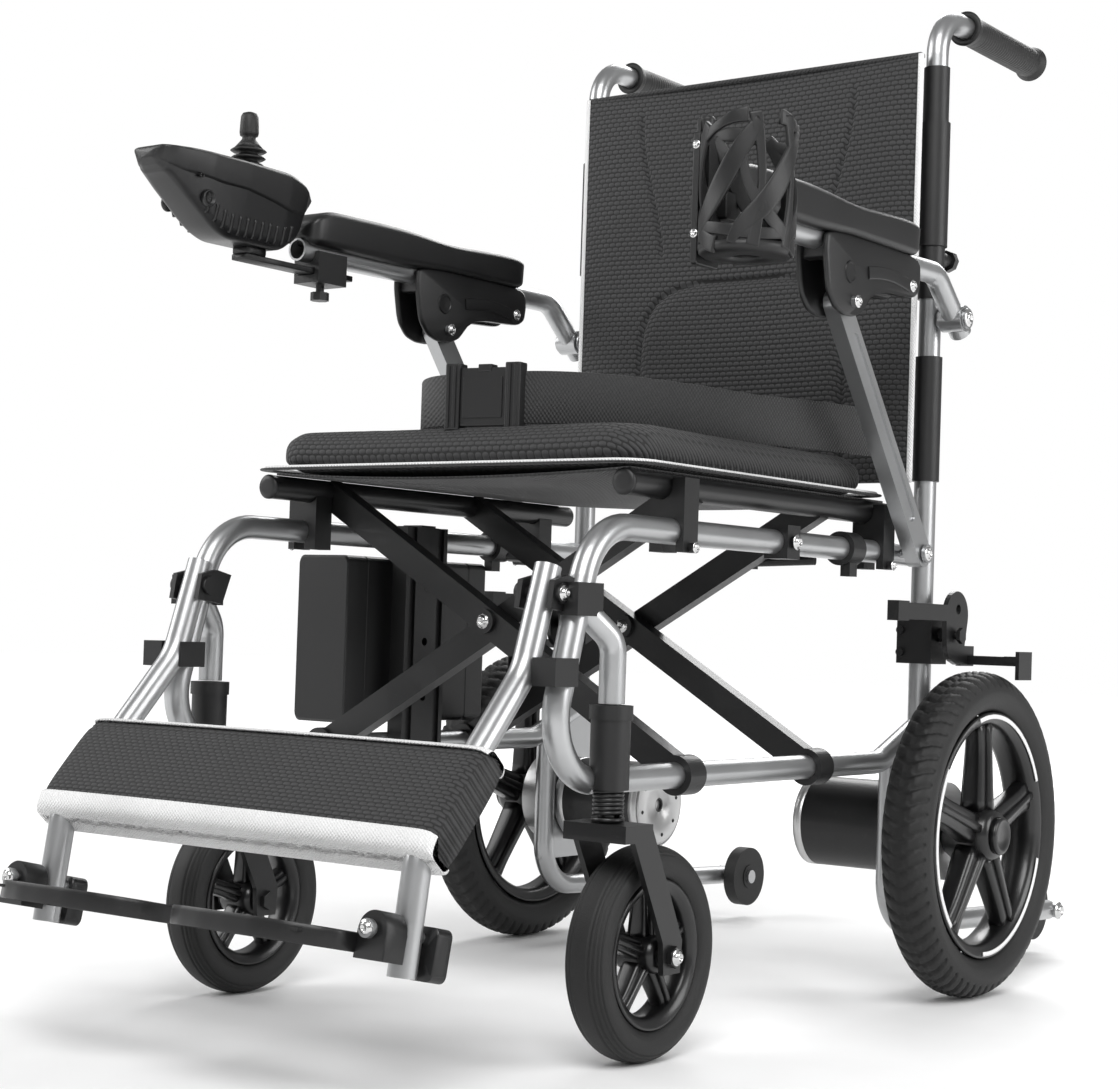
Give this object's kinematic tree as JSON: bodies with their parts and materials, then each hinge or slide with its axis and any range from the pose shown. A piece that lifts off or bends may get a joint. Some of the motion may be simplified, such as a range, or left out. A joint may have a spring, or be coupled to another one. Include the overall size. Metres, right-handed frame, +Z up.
{
  "type": "folding power wheelchair",
  "caption": "Folding power wheelchair with a silver tube frame, mesh seat and back, joystick controller, cup holder, hub-side drive motors and front casters.",
  "frame": {"origin": "on the floor, midway between the side frames and 254 mm ahead of the rear wheel axles", "axes": "+Z up, -Y the front of the chair, +X the user's left"},
  "size_m": [0.63, 1.2157, 0.996],
  "materials": {
    "frame_paint": "satin",
    "black_plastic": "matte",
    "black_steel": "satin black",
    "grip_rubber": "matte",
    "tyre_rubber": "matte",
    "rim_plastic": "satin",
    "bright_steel": "brushed",
    "mesh_fabric": "woven mesh",
    "webbing": "woven",
    "cell_wrap": "gloss",
    "controller_plastic": "fine grain"
  },
  "bodies": {
    "frame_l": {"side_frame_l": "frame_paint", "rail_brackets_l": "black_plastic", "cane_sleeves_l": "black_plastic", "push_grip_l": "grip_rubber", "steerer_sleeve_l": "black_plastic", "hanger_clamp_l": "black_plastic", "motor_l": "black_steel", "gearbox_l": "bright_steel", "back_panel": "mesh_fabric", "seat_belt": "webbing", "belt_buckle": "black_plastic"},
    "frame_r": {"side_frame_r": "frame_paint", "rail_brackets_r": "black_plastic", "cane_sleeves_r": "black_plastic", "push_grip_r": "grip_rubber", "steerer_sleeve_r": "black_plastic", "hanger_clamp_r": "black_plastic", "motor_r": "black_steel", "gearbox_r": "bright_steel"},
    "cross_a": {"cross_arm_a": "black_steel"},
    "cross_b": {"cross_arm_b": "black_steel"},
    "seat": {"seat_sling": "webbing", "seat_cushion": "mesh_fabric"},
    "suspension_l": {"suspension_spring_l": "bright_steel"},
    "swivel_l": {"caster_fork_l": "black_steel"},
    "caster_l": {"caster_rim_l": "rim_plastic", "caster_tyre_l": "tyre_rubber"},
    "rear_wheel_l": {"rear_rim_l": "rim_plastic", "rear_tyre_l": "tyre_rubber"},
    "tip_wheel_l": {"anti_tip_wheel_l": "tyre_rubber"},
    "brake_l": {"brake_lever_l": "black_steel"},
    "armrest_l": {"armrest_tube_l": "frame_paint", "armrest_pad_l": "black_plastic", "armrest_bracket_l": "black_plastic", "cup_cage": "black_plastic"},
    "strut_l": {"armrest_strut_l": "frame_paint"},
    "legrest_l": {"hanger_tube_l": "frame_paint", "calf_pad": "mesh_fabric"},
    "footplate_l": {"footplate_l": "black_plastic"},
    "suspension_r": {"suspension_spring_r": "bright_steel"},
    "swivel_r": {"caster_fork_r": "black_steel"},
    "caster_r": {"caster_rim_r": "rim_plastic", "caster_tyre_r": "tyre_rubber"},
    "rear_wheel_r": {"rear_rim_r": "rim_plastic", "rear_tyre_r": "tyre_rubber"},
    "tip_wheel_r": {"anti_tip_wheel_r": "tyre_rubber"},
    "brake_r": {"brake_lever_r": "black_steel"},
    "armrest_r": {"armrest_tube_r": "frame_paint", "armrest_pad_r": "black_plastic", "armrest_bracket_r": "black_plastic", "controller_mount": "black_plastic"},
    "strut_r": {"armrest_strut_r": "frame_paint"},
    "legrest_r": {"hanger_tube_r": "frame_paint"},
    "footplate_r": {"footplate_r": "black_plastic"},
    "battery_pack": {"battery": "black_plastic", "battery_cells": "cell_wrap"},
    "controller": {"controller_shell": "controller_plastic"},
    "stick_ring": {"joystick_ring": "black_plastic"},
    "stick": {"joystick": "black_plastic"},
    "button": {"power_button": "black_plastic"}
  },
  "joints": [
    {"name": "fold", "type": "hinge", "parent": "frame_l", "child": "cross_a", "pos_m": [0.209, 0, 0.227], "axis": [0, 1, 0], "range_deg": [0, 28], "deforming": ["seat_cushion", "seat_sling", "back_panel", "seat_belt", "belt_buckle", "calf_pad"]},
    {"name": "fold_cross", "type": "hinge", "parent": "cross_a", "child": "cross_b", "pos_m": [0, 0, 0.35045], "axis": [0, 1, 0], "range_deg": [-56, 0]},
    {"name": "fold_frame", "type": "hinge", "parent": "cross_b", "child": "frame_r", "pos_m": [-0.209, 0, 0.227], "axis": [0, 1, 0], "range_deg": [0, 28]},
    {"name": "fold_seat", "type": "hinge", "parent": "cross_a", "child": "seat", "pos_m": [-0.199, 0, 0.468], "axis": [0, 1, 0], "range_deg": [-28, 0]},
    {"name": "rear_wheel_l_spin", "type": "hinge", "parent": "frame_l", "child": "rear_wheel_l", "pos_m": [0.273, 0.254, 0.159], "axis": [1, 0, 0], "continuous": true},
    {"name": "caster_l_spring", "type": "slide", "parent": "frame_l", "child": "suspension_l", "axis": [0, 0, 1], "range_m": [0, 0.01], "stiffness_N_per_m": 15000, "springref_m": -0.02},
    {"name": "caster_l_swivel", "type": "hinge", "parent": "suspension_l", "child": "swivel_l", "pos_m": [0.223, -0.299, 0.2], "axis": [0, 0, 1], "continuous": true},
    {"name": "caster_l_spin", "type": "hinge", "parent": "swivel_l", "child": "caster_l", "pos_m": [0.223, -0.246, 0.0875], "axis": [1, 0, 0], "continuous": true},
    {"name": "tip_wheel_l_spin", "type": "hinge", "parent": "frame_l", "child": "tip_wheel_l", "pos_m": [0.187, 0.585, 0.05], "axis": [1, 0, 0], "continuous": true},
    {"name": "brake_l_press", "type": "hinge", "parent": "frame_l", "child": "brake_l", "pos_m": [0.243, 0.262, 0.352], "axis": [-1, 0, 0], "range_deg": [0, 4]},
    {"name": "armrest_l_lift", "type": "hinge", "parent": "frame_l", "child": "armrest_l", "pos_m": [0.236, 0.258, 0.667], "axis": [-1, 0, 0], "range_deg": [0, 46]},
    {"name": "strut_l_swing", "type": "hinge", "parent": "frame_l", "child": "strut_l", "pos_m": [0.236, 0.192, 0.43], "axis": [-1, 0, 0], "range_deg": [0, 17.6]},
    {"name": "rear_wheel_r_spin", "type": "hinge", "parent": "frame_r", "child": "rear_wheel_r", "pos_m": [-0.273, 0.254, 0.159], "axis": [1, 0, 0], "continuous": true},
    {"name": "caster_r_spring", "type": "slide", "parent": "frame_r", "child": "suspension_r", "axis": [0, 0, 1], "range_m": [0, 0.01], "stiffness_N_per_m": 15000, "springref_m": -0.02},
    {"name": "caster_r_swivel", "type": "hinge", "parent": "suspension_r", "child": "swivel_r", "pos_m": [-0.223, -0.299, 0.2], "axis": [0, 0, 1], "continuous": true},
    {"name": "caster_r_spin", "type": "hinge", "parent": "swivel_r", "child": "caster_r", "pos_m": [-0.223, -0.246, 0.0875], "axis": [1, 0, 0], "continuous": true},
    {"name": "tip_wheel_r_spin", "type": "hinge", "parent": "frame_r", "child": "tip_wheel_r", "pos_m": [-0.187, 0.585, 0.05], "axis": [1, 0, 0], "continuous": true},
    {"name": "brake_r_press", "type": "hinge", "parent": "frame_r", "child": "brake_r", "pos_m": [-0.243, 0.262, 0.352], "axis": [-1, 0, 0], "range_deg": [0, 4]},
    {"name": "armrest_r_lift", "type": "hinge", "parent": "frame_r", "child": "armrest_r", "pos_m": [-0.236, 0.258, 0.667], "axis": [-1, 0, 0], "range_deg": [0, 46]},
    {"name": "strut_r_swing", "type": "hinge", "parent": "frame_r", "child": "strut_r", "pos_m": [-0.236, 0.192, 0.43], "axis": [-1, 0, 0], "range_deg": [0, 17.6]},
    {"name": "legrest_l_lift", "type": "hinge", "parent": "frame_l", "child": "legrest_l", "pos_m": [0.192, -0.354, 0.374], "axis": [-1, 0, 0], "range_deg": [0, 30]},
    {"name": "legrest_r_lift", "type": "hinge", "parent": "frame_r", "child": "legrest_r", "pos_m": [-0.192, -0.354, 0.374], "axis": [-1, 0, 0], "range_deg": [0, 30]},
    {"name": "footplate_l_flip", "type": "hinge", "parent": "legrest_l", "child": "footplate_l", "pos_m": [0.192, -0.502, 0.122], "axis": [0, 0.9781, -0.2079], "range_deg": [0, 84]},
    {"name": "footplate_r_flip", "type": "hinge", "parent": "legrest_r", "child": "footplate_r", "pos_m": [-0.192, -0.502, 0.122], "axis": [0, -0.9781, 0.2079], "range_deg": [0, 84]},
    {"name": "battery_out", "type": "slide", "parent": "frame_r", "child": "battery_pack", "axis": [-1, 0, 0], "range_m": [0, 0.09]},
    {"name": "controller_reach", "type": "slide", "parent": "armrest_r", "child": "controller", "axis": [0, -1, 0], "range_m": [0, 0.04]},
    {"name": "stick_side", "type": "hinge", "parent": "controller", "child": "stick_ring", "pos_m": [-0.236, -0.262, 0.7445], "axis": [1, 0, 0], "range_deg": [-14, 14], "stiffness_Nm_per_rad": 0.3},
    {"name": "stick_forward", "type": "hinge", "parent": "stick_ring", "child": "stick", "pos_m": [-0.236, -0.262, 0.7445], "axis": [0, 1, 0], "range_deg": [-14, 14], "stiffness_Nm_per_rad": 0.3},
    {"name": "button_press", "type": "slide", "parent": "controller", "child": "button", "axis": [0, 0, -1], "range_m": [0, 0.002], "stiffness_N_per_m": 800, "springref_m": -0.001}
  ],
  "couplings": [
    {"joint": "fold_cross", "follows": "fold", "ratio": -2},
    {"joint": "fold_frame", "follows": "fold", "ratio": 1},
    {"joint": "fold_seat", "follows": "fold", "ratio": -1},
    {"joint": "strut_l_swing", "follows": "armrest_l_lift", "ratio": 0.22},
    {"joint": "strut_r_swing", "follows": "armrest_r_lift", "ratio": 0.22},
    {"joint": "legrest_r_lift", "follows": "legrest_l_lift", "ratio": 1},
    {"joint": "footplate_l_flip", "follows": "fold", "ratio": 3},
    {"joint": "footplate_r_flip", "follows": "fold", "ratio": 3}
  ]
}
